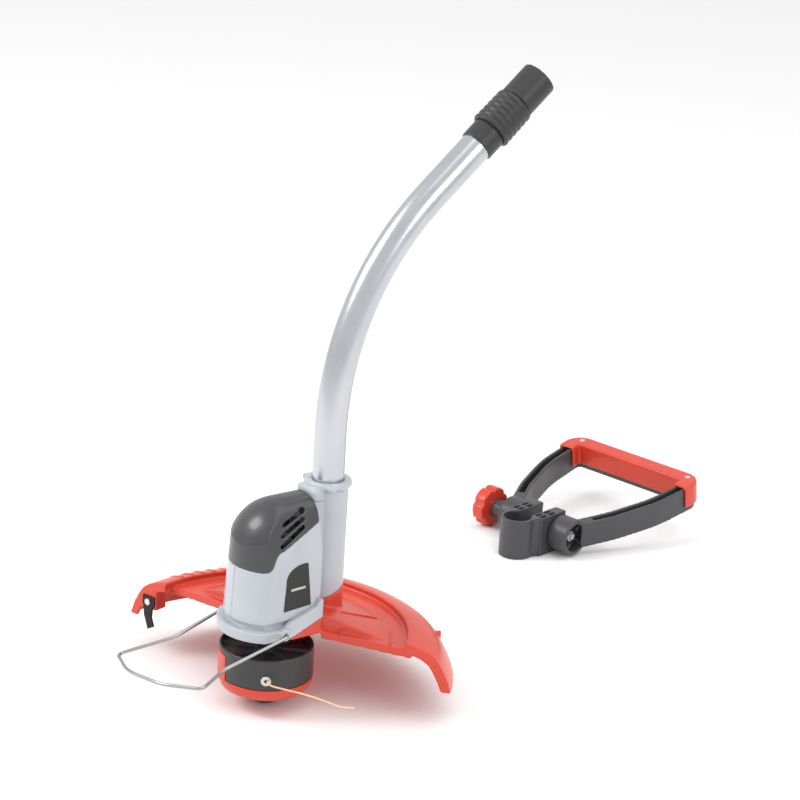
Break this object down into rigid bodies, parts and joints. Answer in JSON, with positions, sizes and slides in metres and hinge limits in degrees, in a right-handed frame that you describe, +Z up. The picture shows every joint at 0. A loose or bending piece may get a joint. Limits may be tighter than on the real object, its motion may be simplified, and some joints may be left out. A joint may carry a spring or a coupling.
{
  "type": "electric string trimmer",
  "caption": "Electric string trimmer head on a curved lower shaft, with line head, wire plant guard, debris guard and a separate clamp-on D-handle.",
  "frame": {"origin": "centre of the bump knob's foot, the lowest point on the motor axis, where the head rests on the ground", "axes": "+Z up the motor axis, +Y towards the operator's shaft, +X to the right seen from the shaft side looking forward (-Y is the front, where the wire plant guard stands)"},
  "size_m": [0.3951, 0.7504, 0.5457],
  "materials": {
    "housing_shell": "light grey moulded plastic, faint texture",
    "cover_dark": "dark grey moulded plastic, soft sheen",
    "badge": "near-black glossy plate with a plain pale bar",
    "red_plastic": "warm red moulded plastic",
    "dark_plastic": "dark grey moulded plastic",
    "frame_plastic": "mid-dark grey moulded plastic",
    "steel": "plain steel",
    "zinc_screw": "zinc-plated steel",
    "black_steel": "blackened spring steel",
    "tube_aluminium": "satin drawn aluminium tube",
    "lamination": "stacked electrical steel sheet",
    "copper_wire": "enamelled copper wire",
    "carbon": "pressed carbon",
    "natural_plastic": "unpigmented plastic",
    "nylon_line": "pale orange translucent nylon line",
    "cable_jacket": "black rubber-jacketed cable"
  },
  "bodies": {
    "motor_unit": {"housing_right": "housing_shell", "housing_left": "housing_shell", "badge_right": "badge", "badge_left": "badge", "top_cover": "cover_dark", "housing_screws": "zinc_screw", "skirt_ring": "housing_shell", "shaft_collar": "housing_shell", "motor_plate": "frame_plastic", "lower_bearing": "steel", "upper_bearing": "steel", "stator_core": "lamination", "field_coils": "copper_wire", "brush_bridge": "frame_plastic", "carbon_brushes": "carbon", "brush_springs": "steel", "motor_bolts": "zinc_screw", "guard": "red_plastic", "line_cutter_blade": "black_steel", "blade_screw": "zinc_screw", "guard_screws": "zinc_screw", "shaft_tube": "tube_aluminium", "supply_cable": "cable_jacket", "terminal_block": "natural_plastic", "coupling_body": "dark_plastic", "end_sleeve": "dark_plastic", "cable_plug": "dark_plastic", "tube_screw": "zinc_screw"},
    "line_head": {"motor_shaft": "steel", "armature_core": "lamination", "armature_winding": "copper_wire", "commutator": "copper_wire", "cooling_fan": "natural_plastic", "drive_pin": "steel", "head_drum": "dark_plastic", "head_cover": "red_plastic", "line_eyelet": "steel", "cutting_line": "nylon_line", "spool_spring": "steel"},
    "bump_core": {"bump_knob": "dark_plastic"},
    "spool_core": {"line_spool": "natural_plastic", "line_winding": "nylon_line"},
    "plant_guard": {"plant_guard_wire": "steel"},
    "lock_collar": {"lock_ring": "dark_plastic"},
    "aux_bracket": {"handle_clamp": "frame_plastic"},
    "aux_loop": {"handle_frame": "frame_plastic", "grip_cover": "red_plastic", "grip_screws": "zinc_screw", "clamp_nut": "zinc_screw", "clamp_washer": "zinc_screw"},
    "clamp_screw": {"clamp_knob": "red_plastic", "clamp_bolt": "zinc_screw"}
  },
  "joints": [
    {"name": "line_head_spin", "type": "hinge", "parent": "motor_unit", "child": "line_head", "pos_m": [0, 0, 0], "axis": [0, 0, 1], "continuous": true},
    {"name": "bump_feed", "type": "slide", "parent": "line_head", "child": "bump_core", "axis": [0, 0, 1], "range_m": [0, 0.004], "stiffness_N_per_m": 900, "deforming": ["spool_spring"]},
    {"name": "spool_turn", "type": "hinge", "parent": "bump_core", "child": "spool_core", "pos_m": [0, 0, 0.03], "axis": [0, 0, 1], "continuous": true},
    {"name": "plant_guard_fold", "type": "hinge", "parent": "motor_unit", "child": "plant_guard", "pos_m": [0, -0.0075, 0.079], "axis": [-1, 0, 0], "range_deg": [0, 88]},
    {"name": "shaft_lock_twist", "type": "hinge", "parent": "motor_unit", "child": "lock_collar", "pos_m": [0, 0.2238, 0.5012], "axis": [0, 0.766, 0.6428], "range_deg": [0, 60]},
    {"name": "aux_handle_lift", "type": "slide", "parent": "motor_unit", "child": "aux_bracket", "axis": [0, 0, 1], "range_m": [0, 0.3]},
    {"name": "aux_handle_tilt", "type": "hinge", "parent": "aux_bracket", "child": "aux_loop", "pos_m": [-0.1615, 0.4515, 0.021], "axis": [0.9848, 0.1736, 0], "range_deg": [-10, 75]},
    {"name": "clamp_knob_turn", "type": "hinge", "parent": "aux_loop", "child": "clamp_screw", "pos_m": [-0.1615, 0.4515, 0.021], "axis": [0.9848, 0.1736, 0], "continuous": true}
  ]
}
